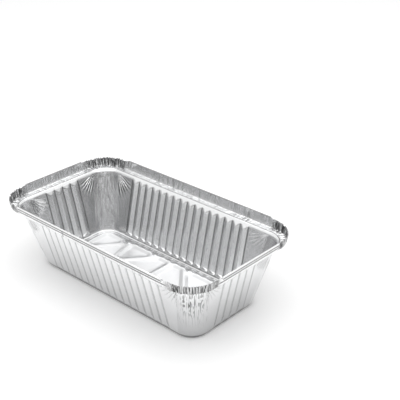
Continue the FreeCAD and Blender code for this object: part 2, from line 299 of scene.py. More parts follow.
@dataclass
class SheetLayout:
    """Rows and columns of the sheet, and the flat facts that the press tree reads."""

    plan: SheetPlan
    long_ribs: RibField = field(default_factory=lambda: RibField(16, 8.2))
    short_ribs: RibField = field(default_factory=lambda: RibField(4, 6.55))
    corner_steps: int = 36
    pleat_columns: int = 3
    panel_steps: int = 15
    wall_spacing: float = 2.3
    corner_pleats: int = 18
    fan_strengths: Sequence[float] = (0.3, 1.0, 0.9, 0.5)
    outer_fan_strengths: Sequence[float] = (0.75, 0.4, 0.4, 0.45)

    def rib_field(self, side: int) -> RibField:
        """Ribs of a side."""
        return self.long_ribs if side % 2 == 0 else self.short_ribs

    def panel_shares(self, side: int) -> list[float]:
        """Shares of the way from the last valley to the corner, with one at the hem's end."""
        inset = self.plan.section[Level.TOP][0]
        half = self.plan.straight_half(side, inset, self.plan.rim_radius(inset))
        valley = self.rib_field(side).reach(self.plan, side)
        hem_share = (half - self.plan.sizes.hem_end_gap - valley) / (half - valley)
        shares = [step / self.panel_steps for step in range(1, self.panel_steps)]
        nearest = min(range(len(shares)), key=lambda index: abs(shares[index] - hem_share))
        shares[nearest] = hem_share
        return shares

    def columns(self) -> list[Column]:
        """All columns, anticlockwise, starting with the +X, +Y corner."""
        found: list[Column] = []
        for index in range(4):
            fine_steps = self.corner_steps * self.pleat_columns
            for step in range(fine_steps + 1):
                between = step % self.pleat_columns != 0
                found.append(
                    Column(index, step / fine_steps, on_corner=True, rim_only=between)
                )
            ribs = self.rib_field(index)
            reach = ribs.reach(self.plan, index)
            shares = self.panel_shares(index)
            found += [Column(index, -share, on_panel=True) for share in reversed(shares)]
            for rib in range(ribs.count):
                for phase in ribs.steps:
                    place = blend_value(-reach, reach, (rib + phase) / ribs.count)
                    found.append(Column(index, place, rib_phase=phase, in_ribs=True))
            found.append(Column(index, reach, in_ribs=True))
            found += [Column(index, share, on_panel=True) for share in shares]
        return found

    def rows(self) -> list[Row]:
        """All rows, from the rim's top edge to the edge of the base panel."""
        section = self.plan.section
        rounding = {
            Level.LEDGE_EDGE: 0.7,
            Level.CREASE: 0.5,
            Level.WALL_TOP: 0.6,
            Level.WALL_FOOT: 1.2,
            Level.RING_EDGE: 0.8,
            Level.RING_INNER: 0.9,
        }
        runs = {
            Level.LEDGE_EDGE: (0.3, 0.516, 0.53, 0.65, 0.664, 0.82),
            Level.CREASE: (0.33, 0.66),
            Level.WALL_TOP: (0.5,),
            Level.WALL_FOOT: self.wall_shares(),
            Level.RING_INNER: (0.5,),
            Level.PANEL: (0.35, 0.65, 0.9),
        }
        points: list[tuple[float, float, Level, float]] = [
            (*section[Level.TOP], Level.LEDGE_EDGE, 0.0)
        ]
        levels = list(Level)
        for before, level in zip(levels, levels[1:]):
            start = Vector(section[before])
            corner = Vector(section[level])
            for share in runs.get(level, ()):
                points.append((*start.lerp(corner, share), level, 0.0))
            if level not in rounding:
                points.append((*corner, level, 0.0))
                continue
            ahead = Vector(section[levels[level.value + 1]])
            into = corner - (corner - start).normalized() * rounding[level]
            out = corner + (ahead - corner).normalized() * rounding[level]
            middle = (into + out) * 0.25 + corner * 0.5
            for place, bend in ((into, 0.0), (middle, 1.0), (out, 0.0)):
                points.append((*place, level, bend))
        return self.finish_rows(points)

    def wall_shares(self) -> tuple[float, ...]:
        """Shares down the wall, closer together at the pointed ends of the ribs."""
        section = self.plan.section
        top_z = section[Level.WALL_TOP][1]
        foot_z = section[Level.WALL_FOOT][1]
        heights = [top_z - step for step in (1.1, 1.7, 2.3, 2.9, 3.4, 4.0, 5.0)]
        low = [foot_z + step for step in (5.6, 4.6, 3.9, 3.1, 2.3)]
        between = heights[-1] - low[0]
        count = round(between / self.wall_spacing)
        heights += [heights[-1] - between * step / count for step in range(1, count)]
        heights += low
        return tuple((top_z - height) / (top_z - foot_z) for height in heights)

    def finish_rows(self, points: Sequence[tuple[float, float, Level, float]]) -> list[Row]:
        """Give each point of the section its corner radius and its distance down the sheet."""
        plan = self.plan
        wall_top = plan.section[Level.WALL_TOP][0]
        wall_foot = plan.section[Level.WALL_FOOT][0]
        found: list[Row] = []
        drop = 0.0
        for inset, height, level, bend in points:
            if found:
                drop += math.hypot(inset - found[-1].inset, height - found[-1].height)
            if inset < wall_top:
                radius = plan.rim_radius(inset)
            elif inset < wall_foot:
                radius = plan.wall_radius(inset)
            else:
                radius = plan.foot_radius(inset)
            found.append(Row(inset, height, radius, level, drop, bend))
        return found

    def hem_rows(self) -> list[tuple[float, float, float]]:
        """Fold over the top and down the outside of the upstand, as (inset, height, painted shade)."""
        sizes = self.plan.sizes
        top = sizes.tray_height
        foot = top - sizes.hem_height
        thick = sizes.hem_thickness
        return [
            (-thick * 0.3, top, 0.0),
            (-thick * 0.9, top - 0.1, 0.0),
            (-thick, top - 0.3, 0.0),
            (-thick, top - 0.62, 0.0),
            # painted shadow lines down the hem's face and along its foot
            (-thick, top - 0.7, 0.97),
            (-thick * 0.95, top - 1.5, 0.97),
            (-thick * 0.5, foot + 0.1, 0.6),
            (0.3, foot, 0.6),
        ]

    def place(self, column: Column, row: Row) -> Point2:
        """Where a column crosses a row, in plan."""
        plan = self.plan
        if column.on_corner:
            return plan.corner_point(column.index, column.place, row.inset, row.radius)
        along = column.place
        if column.on_panel:
            valley = self.rib_field(column.index).reach(plan, column.index)
            half = plan.straight_half(column.index, row.inset, row.radius)
            along = math.copysign(blend_value(valley, half, abs(along)), along)
        return plan.side_point(column.index, along, row.inset)


class FactSheet:
    """Per-point facts of the sheet, gathered point by point and written as mesh attributes."""

    NAMES = (
        "rib_phase",
        "in_ribs",
        "arc",
        "drop",
        "pleat_phase",
        "pleat_mask",
        "edge_share",
        "crease_phase",
        "crease_mask",
        # dash_mask, streak, pleat_mask and crumple also say where the material paints shade lines
        "dash_mask",
        "fan_angle",
        "fan_mask",
        "outer_fan_mask",
        "calm",
        "ripple_mask",
        "crumple",
        "streak",
        # painted shade of the inside face and of the outside face
        "shade",
        "outer_shade",
    )

    def __init__(self) -> None:
        """Start with no points."""
        self.values: dict[str, list[float]] = {name: [] for name in self.NAMES}

    def add(self, **facts: float) -> None:
        """Add one point's facts; what isn't named is nought."""
        for name in self.NAMES:
            self.values[name].append(facts.get(name, 0.0))

    def write(self, mesh: bpy.types.Mesh) -> None:
        """Write every fact to the mesh as a point attribute."""
        for name, values in self.values.items():
            attribute = mesh.attributes.new(name, "FLOAT", "POINT")
            attribute.data.foreach_set("value", np.array(values, dtype=np.float32))


class BasePanel:
    """Flat panel of the base, with its spine and braces and the pads sunk between them."""

    CORNER_STEPS = 4
    CONTOURS = (0.0, 0.24, 0.76, 1.0)

    def __init__(self, plan: SheetPlan, sizes: BaseSizes) -> None:
        """Work out the pads' cores for one quarter and mirror them."""
        self.plan = plan
        self.sizes = sizes
        self.edge_radius = sizes.pad_floor_radius + sizes.pad_slope_run
        self.cores: list[list[Point2]] = []
        for corners, lands in self.quarter_pads():
            core = self.shrink(corners, [land + self.edge_radius for land in lands])
            for sign_x in (1, -1):
                for sign_y in (1, -1):
                    points = [(x * sign_x, y * sign_y) for x, y in core]
                    self.cores.append(points if sign_x * sign_y > 0 else points[::-1])

    def quarter_pads(self) -> list[tuple[list[Point2], list[float]]]:
        """Fields between the bars in one quarter, each with the land beside each side."""
        sizes = self.sizes
        bar = sizes.bar_land / 2
        land = sizes.frame_land
        inset = self.plan.section[Level.PANEL][0]
        frame_x = self.plan.half_length - inset
        frame_y = self.plan.half_width - inset
        reach = frame_x - sizes.spine_end
        outer_foot = (reach, 0.0)
        outer_top = (reach * sizes.outer_brace_share, frame_y)
        hub = (reach * sizes.brace_hub_share, 0.0)
        inner_top = (reach * sizes.inner_brace_share, frame_y)
        return [
            ([(0.0, 0.0), hub, inner_top, (0.0, frame_y)], [bar, bar, land, bar]),
            ([hub, outer_top, inner_top], [bar, land, bar]),
            ([hub, outer_foot, outer_top], [bar, bar, bar]),
            ([outer_foot, (frame_x, 0.0), (frame_x, frame_y), outer_top], [bar, land, land, bar]),
        ]

    @staticmethod
    def shrink(points: Sequence[Point2], distances: Sequence[float]) -> list[Point2]:
        """Move each side of a convex anticlockwise outline inwards by its own distance."""
        core = list(points)
        for index, (x0, y0) in enumerate(points):
            x1, y1 = points[(index + 1) % len(points)]
            run = math.hypot(x1 - x0, y1 - y0)
            normal = ((y0 - y1) / run, (x1 - x0) / run)
            limit = x0 * normal[0] + y0 * normal[1] + distances[index]
            kept: list[Point2] = []
            for place, point in enumerate(core):
                before = core[place - 1]
                reach = point[0] * normal[0] + point[1] * normal[1] - limit
                reach_before = before[0] * normal[0] + before[1] * normal[1] - limit
                if reach * reach_before < 0:
                    share = reach_before / (reach_before - reach)
                    kept.append(
                        (
                            blend_value(before[0], point[0], share),
                            blend_value(before[1], point[1], share),
                        )
                    )
                if reach >= 0:
                    kept.append(point)
            core = kept
        return core

    def contour(self, core: Sequence[Point2], radius: float) -> list[Point2]:
        """Closed line at a distance round a core, in steps of about the point spacing."""
        found: list[Point2] = []
        for index, (x, y) in enumerate(core):
            back = core[index - 1]
            ahead = core[(index + 1) % len(core)]
            heading_in = math.atan2(y - back[1], x - back[0])
            turn = (math.atan2(ahead[1] - y, ahead[0] - x) - heading_in) % math.tau
            for step in range(self.CORNER_STEPS + 1):
                heading = heading_in + turn * step / self.CORNER_STEPS
                found.append((x + radius * math.sin(heading), y - radius * math.cos(heading)))
            heading = heading_in + turn
            start = (x + radius * math.sin(heading), y - radius * math.cos(heading))
            run = math.hypot(ahead[0] - x, ahead[1] - y)
            steps = max(1, round(run / self.sizes.point_spacing))
            for step in range(1, steps):
                share = step / steps
                found.append(
                    (start[0] + (ahead[0] - x) * share, start[1] + (ahead[1] - y) * share)
                )
        return found

    @staticmethod
    def distance(core: Sequence[Point2], x: float, y: float) -> float:
        """Distance from a point to a convex core, nought inside it."""
        inside = True
        nearest = math.inf
        for index, (x0, y0) in enumerate(core):
            x1, y1 = core[(index + 1) % len(core)]
            dx, dy = x1 - x0, y1 - y0
            if dx * (y - y0) - dy * (x - x0) < 0:
                inside = False
            share = ((x - x0) * dx + (y - y0) * dy) / (dx * dx + dy * dy)
            share = min(1.0, max(0.0, share))
            nearest = min(nearest, math.hypot(x - x0 - dx * share, y - y0 - dy * share))
        return 0.0 if inside else nearest

    def sink(self, x: float, y: float) -> float:
        """Depth of the panel below its bars at a point."""
        away = min(self.distance(core, x, y) for core in self.cores)
        share = (self.edge_radius - away) / self.sizes.pad_slope_run
        share = min(1.0, max(0.0, share))
        soft = share * share * (3 - 2 * share)
        return self.sizes.pad_depth * blend_value(share, soft, 0.7)

    def points(self) -> tuple[list[Point2], list[tuple[int, int]]]:
        """Points of the pads and bars inside the panel's edge, and the edges that they keep."""
        found: list[Point2] = []
        edges: list[tuple[int, int]] = []
        for core in self.cores:
            for share in self.CONTOURS:
                loop = self.contour(core, self.edge_radius - share * self.sizes.pad_slope_run)
                first = len(found)
                found += loop
                count = len(loop)
                edges += [(first + step, first + (step + 1) % count) for step in range(count)]
            found += self.floor_points(core)
        found += self.bar_points()
        return found, edges

    def floor_points(self, core: Sequence[Point2]) -> list[Point2]:
        """Loose points over a pad's floor."""
        spacing = self.sizes.point_spacing * 2.4
        xs = [x for x, _ in core]
        ys = [y for _, y in core]
        found = []
        for column in range(int((max(xs) - min(xs)) / spacing) + 1):
            for row in range(int((max(ys) - min(ys)) / spacing) + 1):
                x = min(xs) + (column + 0.5) * spacing
                y = min(ys) + (row + 0.5) * spacing
                if self.distance(core, x, y) == 0.0:
                    found.append((x, y))
        return found

    def bar_points(self) -> list[Point2]:
        """Points along the middle of the spine and the cross bar."""
        inset = self.plan.section[Level.PANEL][0]
        reach_x = self.plan.half_length - inset - self.sizes.frame_land
        reach_y = self.plan.half_width - inset - self.sizes.frame_land
        spacing = self.sizes.point_spacing
        found = [(0.0, 0.0)]
        for step in range(1, int(reach_x / spacing)):
            found += [(step * spacing, 0.0), (-step * spacing, 0.0)]
        for step in range(1, int(reach_y / spacing)):
            found += [(0.0, step * spacing), (0.0, -step * spacing)]
        return found


class TreeBuilder:
    """Short ways to add nodes to a tree and join them."""

    def __init__(self, tree: bpy.types.NodeTree) -> None:
        """Keep the tree that nodes are added to."""
        self.tree = tree

    def node(self, kind: str, **settings: Any) -> bpy.types.Node:
        """Add a node and set its properties."""
        made = self.tree.nodes.new(kind)
        for name, value in settings.items():
            setattr(made, name, value)
        return made

    def feed(self, socket: bpy.types.NodeSocket, value: Any) -> None:
        """Join a socket to another, or set its plain value."""
        if isinstance(value, bpy.types.NodeSocket):
            self.tree.links.new(value, socket)
        else:
            socket.default_value = value

    def math(self, operation: str, *values: Any, clamp: bool = False) -> bpy.types.NodeSocket:
        """Math node of an operation on one to three values."""
        made = self.node("ShaderNodeMath", operation=operation, use_clamp=clamp)
        for socket, value in zip(made.inputs, values):
            self.feed(socket, value)
        return made.outputs[0]

    def vector_math(self, operation: str, *values: Any) -> bpy.types.NodeSocket:
        """Vector math node of an operation; scale takes its factor last."""
        made = self.node("ShaderNodeVectorMath", operation=operation)
        if operation == "SCALE":
            self.feed(made.inputs[0], values[0])
            self.feed(made.inputs["Scale"], values[1])
        else:
            for socket, value in zip(made.inputs, values):
                self.feed(socket, value)
        return made.outputs[0]

    def combine(self, x: Any, y: Any, z: Any) -> bpy.types.NodeSocket:
        """Vector from three values."""
        made = self.node("ShaderNodeCombineXYZ")
        for socket, value in zip(made.inputs, (x, y, z)):
            self.feed(socket, value)
        return made.outputs[0]

    def noise(self, vector: Any, scale: float, detail: float = 0.0) -> bpy.types.NodeSocket:
        """Smooth noise from 0 to 1 at a vector."""
        made = self.node("ShaderNodeTexNoise", noise_dimensions="3D")
        self.feed(made.inputs["Vector"], vector)
        made.inputs["Scale"].default_value = scale
        made.inputs["Detail"].default_value = detail
        return made.outputs[0]

    def ramp(self, value: Any, low: float, high: float) -> bpy.types.NodeSocket:
        """Soft step from 0 at low to 1 at high."""
        made = self.node("ShaderNodeMapRange", interpolation_type="SMOOTHSTEP")
        self.feed(made.inputs["Value"], value)
        made.inputs["From Min"].default_value = low
        made.inputs["From Max"].default_value = high
        return made.outputs[0]


class PressTree(TreeBuilder):
    """Geometry Nodes tree that presses ribs, pleats, creases and folds into the flat-walled sheet."""

    INPUTS = (
        "Rib Depth",
        "Rib Top Run",
        "Rib Foot Run",
        "Rib Rounding",
        "Rib Foot Rounding",
        "Wall Top",
        "Wall Foot",
        "Pleat Depth",
        "Pleat Notch",
        "Fine Fold Depth",
        "Crease Depth",
        "Fan Depth",
        "Fan Pitch",
        "Upstand Ripple",
        "Crumple Depth",
        "Seed",
    )

    def __init__(self) -> None:
        """Build the whole tree."""
        super().__init__(bpy.data.node_groups.new("press_foil", "GeometryNodeTree"))
        interface = self.tree.interface
        interface.new_socket("Geometry", in_out="INPUT", socket_type="NodeSocketGeometry")
        for name in self.INPUTS:
            interface.new_socket(name, in_out="INPUT", socket_type="NodeSocketFloat")
        interface.new_socket("Foil Material", in_out="INPUT", socket_type="NodeSocketMaterial")
        interface.new_socket("Geometry", in_out="OUTPUT", socket_type="NodeSocketGeometry")
        self.inputs = self.node("NodeGroupInput").outputs
        self.position = self.node("GeometryNodeInputPosition").outputs[0]
        split = self.node("ShaderNodeSeparateXYZ")
        self.feed(split.inputs[0], self.position)
        self.height = split.outputs["Z"]
        self.build()

    def fact(self, name: str) -> bpy.types.NodeSocket:
        """Named point attribute of the sheet."""
        made = self.node("GeometryNodeInputNamedAttribute", data_type="FLOAT")
        made.inputs["Name"].default_value = name
        return made.outputs["Attribute"]

    def coordinate(self, across: float, down: float, shift: float) -> bpy.types.NodeSocket:
        """Place on the sheet for noise: along its rim, down it, and a seed of its own."""
        seed = self.math("ADD", self.inputs["Seed"], shift)
        return self.combine(
            self.math("MULTIPLY", self.fact("arc"), across),
            self.math("MULTIPLY", self.fact("drop"), down),
            self.math("MULTIPLY", seed, 7.3),
        )

    def signed_noise(self, across: float, down: float, shift: float) -> bpy.types.NodeSocket:
        """Noise from about -1 to 1 over the sheet."""
        made = self.noise(self.coordinate(across, down, shift), 1.0, 1.0)
        return self.math("MULTIPLY", self.math("SUBTRACT", made, 0.5), 3.2)

    def ribs(self) -> bpy.types.NodeSocket:
        """Height of the ribs: a ridge between two valleys, cut off by a plane at each end."""
        depth = self.inputs["Rib Depth"]
        rounding = self.inputs["Rib Rounding"]
        away = self.math("ABSOLUTE", self.math("SUBTRACT", self.fact("rib_phase"), 0.5))
        share = self.math("SUBTRACT", 1.0, self.math("MULTIPLY", away, 2.0))
        ridge = self.math("MULTIPLY", share, depth)
        ridge = self.math("SMOOTH_MIN", ridge, self.math("MULTIPLY", depth, 0.97), rounding)
        top = self.math("SUBTRACT", self.inputs["Wall Top"], self.height)
        top = self.math("DIVIDE", self.math("MULTIPLY", top, depth), self.inputs["Rib Top Run"])
        foot = self.math("SUBTRACT", self.height, self.inputs["Wall Foot"])
        foot = self.math("DIVIDE", self.math("MULTIPLY", foot, depth), self.inputs["Rib Foot Run"])
        lowest = self.math("SMOOTH_MIN", ridge, top, rounding)
        lowest = self.math("SMOOTH_MIN", lowest, foot, self.inputs["Rib Foot Rounding"])
        lowest = self.math("MAXIMUM", lowest, 0.0)
        return self.math("MULTIPLY", lowest, self.fact("in_ribs"))

    def pleat_wave(self) -> bpy.types.NodeSocket:
        """Folds round a corner of the rim, 0 outside and 1 folded in."""
        phase = self.math("ADD", self.fact("pleat_phase"), self.pleat_wander())
        wave = self.math("MULTIPLY", self.math("PINGPONG", phase, 0.5), 2.0)
        uneven = self.math("ADD", self.math("MULTIPLY", self.signed_noise(0.45, 0.0, 3.0), 0.7), 0.85)
        return self.math("MULTIPLY", self.math("MULTIPLY", wave, uneven), self.fact("pleat_mask"))

    def pleat_wander(self) -> bpy.types.NodeSocket:
        """How far a pleat strays from even spacing, in pleats."""
        return self.math("MULTIPLY", self.signed_noise(0.25, 0.05, 1.0), 1.1)

    def fine_folds(self) -> bpy.types.NodeSocket:
        """Thin uneven folds between the pleats of a corner, from about -1 to 1."""
        return self.math("MULTIPLY", self.signed_noise(1.5, 0.1, 41.0), self.fact("pleat_mask"))

    def creases(self) -> bpy.types.NodeSocket:
        """Upright creases in a corner of the wall, even folds mixed with wandering ones."""
        phase = self.math("ADD", self.fact("crease_phase"), self.signed_noise(0.15, 0.06, 5.0))
        even = self.math("SUBTRACT", self.math("MULTIPLY", self.math("PINGPONG", phase, 0.5), 4.0), 1.0)
        wandering = self.math("ABSOLUTE", self.signed_noise(0.75, 0.09, 9.0))
        wandering = self.math("SUBTRACT", 0.45, wandering)
        mixed = self.math("ADD", self.math("MULTIPLY", even, 0.45), wandering)
        depth = self.math("MULTIPLY", self.inputs["Crease Depth"], self.fact("crease_mask"))
        return self.math("MULTIPLY", mixed, depth)

    def fans(self) -> bpy.types.NodeSocket:
        """Slanting folds that spread from the top of each corner."""
        turns = self.math("DIVIDE", self.fact("fan_angle"), self.inputs["Fan Pitch"])
        turns = self.math("ADD", turns, self.math("MULTIPLY", self.signed_noise(0.11, 0.11, 13.0), 0.35))
        wave = self.math("MULTIPLY", self.math("PINGPONG", turns, 0.5), 2.0)
        uneven = self.math("ADD", self.math("MULTIPLY", self.signed_noise(0.2, 0.2, 17.0), 0.5), 0.9)
        wave = self.math("MULTIPLY", wave, uneven)
        return self.math("MULTIPLY", self.math("MULTIPLY", wave, self.fact("fan_mask")), self.inputs["Fan Depth"])

    def ripples(self) -> bpy.types.NodeSocket:
        """Fine upright ripples of the straight upstand and ledge."""
        made = self.signed_noise(0.6, 0.08, 21.0)
        made = self.math("ADD", made, self.math("MULTIPLY", self.signed_noise(0.1, 0.05, 23.0), 1.2))
        made = self.math("MULTIPLY", made, self.fact("ripple_mask"))
        return self.math("MULTIPLY", made, self.inputs["Upstand Ripple"])

    def crumples(self) -> bpy.types.NodeSocket:
        """Loose dents where the foil is crushed between the pleats and the hem."""
        ridged = self.math("ABSOLUTE", self.signed_noise(0.45, 0.45, 29.0))
        ridged = self.math("SUBTRACT", 0.4, ridged)
        depth = self.math("MULTIPLY", self.inputs["Crumple Depth"], self.fact("crumple"))
        return self.math("MULTIPLY", ridged, depth)

    def build(self) -> None:
        """Join the pressed shapes into one offset of the sheet, and store the painted shade of its folds."""
        pleats = self.pleat_wave()
        inwards = self.math("ADD", self.ribs(), self.math("MULTIPLY", pleats, self.inputs["Pleat Depth"]))
        for part in (self.creases(), self.fans(), self.ripples(), self.crumples()):
            inwards = self.math("ADD", inwards, part)
        fine = self.fine_folds()
        inwards = self.math("ADD", inwards, self.math("MULTIPLY", fine, self.inputs["Fine Fold Depth"]))
        normal = self.node("GeometryNodeInputNormal").outputs[0]
        offset = self.vector_math("SCALE", normal, inwards)
        notch = self.math("MULTIPLY", pleats, self.inputs["Pleat Notch"])
        notch = self.math("ADD", notch, self.math("MULTIPLY", inwards, 0.2))
        notch = self.math("MULTIPLY", notch, self.fact("edge_share"))
        offset = self.vector_math("SUBTRACT", offset, self.combine(0.0, 0.0, notch))
        # painted shade where the pleats fold in and along the fine folds, kept with the sheet's own painted shade
        painted_fold_shade = self.math("MULTIPLY", self.ramp(pleats, 0.35, 0.7), 0.88)
        painted_fold_shade = self.math("MAXIMUM", painted_fold_shade, self.math("MULTIPLY", self.ramp(fine, 0.25, 0.5), 0.75))
        shaded = self.inputs["Geometry"]
        for name in ("shade", "outer_shade"):
            stored = self.node("GeometryNodeStoreNamedAttribute", data_type="FLOAT", domain="POINT")
            stored.inputs["Name"].default_value = name
            self.feed(stored.inputs["Geometry"], shaded)
            self.feed(stored.inputs["Value"], self.math("MAXIMUM", self.fact(name), painted_fold_shade))
            shaded = stored.outputs["Geometry"]
        moved = self.node("GeometryNodeSetPosition")
        self.feed(moved.inputs["Geometry"], shaded)
        self.feed(moved.inputs["Offset"], offset)
        realized = self.node("GeometryNodeRealizeInstances")
        self.feed(realized.inputs[0], moved.outputs[0])
        dressed = self.node("GeometryNodeSetMaterial")
        self.feed(dressed.inputs["Geometry"], realized.outputs[0])
        self.feed(dressed.inputs["Material"], self.inputs["Foil Material"])
        self.feed(self.node("NodeGroupOutput").inputs[0], dressed.outputs[0])

    def values(self, press: PressSizes, section: dict[Level, Point2]) -> dict[str, float]:
        """Value of each named input for one sheet."""
        return {
            "Rib Depth": press.rib_depth,
            "Rib Top Run": press.rib_top_run,
            "Rib Foot Run": press.rib_foot_run,
            "Rib Rounding": press.rib_rounding,
            "Rib Foot Rounding": press.rib_foot_rounding,
            "Wall Top": section[Level.WALL_TOP][1],
            "Wall Foot": section[Level.WALL_FOOT][1],
            "Pleat Depth": press.pleat_depth,
            "Pleat Notch": press.pleat_notch,
            "Fine Fold Depth": press.fine_fold_depth,
            "Crease Depth": press.crease_depth,
            "Fan Depth": press.fan_depth,
            "Fan Pitch": press.fan_pitch_degrees,
            "Upstand Ripple": press.upstand_ripple,
            "Crumple Depth": press.crumple_depth,
            "Seed": press.seed,
        }

    def add_to(self, obj: bpy.types.Object, values: dict[str, Any]) -> None:
        """Add the tree to an object as a modifier and set its inputs by their identifiers."""
        modifier = obj.modifiers.new("press", "NODES")
        modifier.node_group = self.tree
        for item in self.tree.interface.items_tree:
            if item.in_out == "INPUT" and item.name in values:
                modifier[item.identifier] = values[item.name]


@dataclass(frozen=True)
class FoilFinishAndPaintedShade:
    """Bright rolled aluminium foil, lightly crinkled, with painted shade mixed into its colour in its tight
    folds, bends and turned-away faces.
    """

    bright: tuple[float, float, float] = (0.91, 0.914, 0.92)
    dull: tuple[float, float, float] = (0.85, 0.854, 0.86)
    # painted shade: the grey that the foil's colour is darkened towards
    shade_grey: float = 0.07
    roughness: float = 0.19
    roughness_spread: float = 0.07
    crinkle_size: float = 0.0042
    crinkle_height: float = 0.00004
    crush_size: float = 0.0016
    crush_height: float = 0.0009
    streak_size: float = 0.85
    streak_height: float = 0.0005
    sway_size: float = 6.0
    sway_height: float = 0.0009
    dash_size: float = 1.5
    dash_length: float = 4.5
    fan_pitch_degrees: float = 10.0
    fan_height: float = 0.0013
    fan_shade: float = 0.8
    rolling_pitch: float = 0.0004
    rolling_height: float = 0.000006

    def build(self) -> bpy.types.Material:
        """Make the material.

        Returns:
            The foil material, which reads Object coordinates and the sheet's attributes.
        """
        material = bpy.data.materials.new("rolled_foil")
        material.use_nodes = True
        tree = TreeBuilder(material.node_tree)
        shader = material.node_tree.nodes["Principled BSDF"]
        shader.inputs["Metallic"].default_value = 1.0
        place = tree.node("ShaderNodeTexCoord").outputs["Object"]
        mottle = tree.noise(place, 1 / 0.011, 3.0)
        colour = self.mix(tree, mottle, (*self.bright, 1.0), (*self.dull, 1.0))
        fans = self.fan_wave(tree, place)
        folded = self.fact(tree, "fan_mask")
        # painted shade in the valleys of the slanting folds, along the dashes and lines of folds and in crushed
        # specks
        painted_fold_shade = tree.math("MULTIPLY", tree.ramp(fans, 0.34, 0.46), self.fan_shade)
        painted_fold_shade = tree.math("MAXIMUM", tree.math("MULTIPLY", painted_fold_shade, folded), self.dashes(tree, place))
        # painted shade from the sheet's attribute darkens the base colour towards shade_grey
        shade = tree.math("MAXIMUM", self.fact(tree, "shade"), painted_fold_shade)
        colour = self.mix(tree, shade, colour, (self.shade_grey,) * 3 + (1.0,))
        tree.feed(shader.inputs["Base Color"], colour)
        rough = tree.math("MULTIPLY", tree.math("SUBTRACT", mottle, 0.5), self.roughness_spread * 2)
        rough = tree.math("ADD", rough, tree.math("MULTIPLY", self.fact(tree, "calm"), 0.12))
        tree.feed(shader.inputs["Roughness"], tree.math("ADD", rough, self.roughness))
        fans = tree.math("MULTIPLY", tree.math("MULTIPLY", fans, folded), self.fan_height)
        tree.feed(shader.inputs["Normal"], self.surface(tree, place, fans))
        return material

    @staticmethod
    def fact(tree: TreeBuilder, name: str) -> bpy.types.NodeSocket:
        """Attribute of the sheet."""
        return tree.node("ShaderNodeAttribute", attribute_name=name).outputs["Fac"]

    def sheet_noise(
        self, tree: TreeBuilder, across: float, down: float, detail: float = 0.0
    ) -> bpy.types.NodeSocket:
        """Noise over the sheet, with features of a width along the rim and a length down it, in mm."""
        along = tree.math("DIVIDE", self.fact(tree, "arc"), across)
        lower = tree.math("DIVIDE", self.fact(tree, "drop"), down)
        return tree.noise(tree.combine(along, lower, across), 1.0, detail)

    def lines(self, tree: TreeBuilder, found: Any, width: float, mask: str) -> bpy.types.NodeSocket:
        """Thin wandering lines of painted shade where a noise crosses its middle.

        Args:
            tree: tree that the nodes go into.
            found: the noise.
            width: how wide the lines are, from 0 to 1.
            mask: attribute that says where the lines are and how dark.

        Returns:
            Painted shade from 0 to 1.
        """
        away = tree.math("ABSOLUTE", tree.math("SUBTRACT", found, 0.5))
        drawn = tree.math("SUBTRACT", 1.0, tree.ramp(away, width * 0.04, width * 0.25))
        return tree.math("MULTIPLY", drawn, self.fact(tree, mask))

    def dashes(self, tree: TreeBuilder, place: Any) -> bpy.types.NodeSocket:
        """Painted shade along folds: short dashes and long lines in the wall's corners, lines in the pleats,
        specks where it's crushed.
        """
        upright = self.sheet_noise(tree, self.dash_size, self.dash_length * 8)
        found = self.lines(tree, upright, 0.6, "dash_mask")
        broken = self.sheet_noise(tree, self.dash_size * 1.3, self.dash_length)
        found = tree.math("MULTIPLY", found, tree.ramp(broken, 0.46, 0.52))
        long = self.sheet_noise(tree, self.dash_size * 2.2, self.dash_length * 12)
        long = self.lines(tree, long, 0.12, "streak")
        found = tree.math("MAXIMUM", found, tree.math("MULTIPLY", long, 0.6))
        pleats = self.sheet_noise(tree, self.dash_size * 0.8, self.dash_length * 4)
        found = tree.math("MAXIMUM", found, self.lines(tree, pleats, 0.4, "pleat_mask"))
        crushed = self.lines(tree, tree.noise(place, 1 / self.crush_size, 0.0), 0.3, "crumple")
        return tree.math("MAXIMUM", found, tree.math("MULTIPLY", crushed, 0.8))

    def fan_wave(self, tree: TreeBuilder, place: Any) -> bpy.types.NodeSocket:
        """Folds that slant away from the top of each corner, from 0 to 0.5."""
        turns = tree.math("DIVIDE", self.fact(tree, "fan_angle"), self.fan_pitch_degrees)
        wander = tree.math("MULTIPLY", tree.noise(place, 1 / 0.009, 1.0), 0.8)
        return tree.math("PINGPONG", tree.math("ADD", turns, wander), 0.5)

    @staticmethod
    def mix(tree: TreeBuilder, share: Any, first: Any, second: Any) -> bpy.types.NodeSocket:
        """Colour between two others at a share of the way."""
        made = tree.node("ShaderNodeMix", data_type="RGBA")
        tree.feed(made.inputs["Factor"], share)
        tree.feed(made.inputs["A"], first)
        tree.feed(made.inputs["B"], second)
        return made.outputs["Result"]

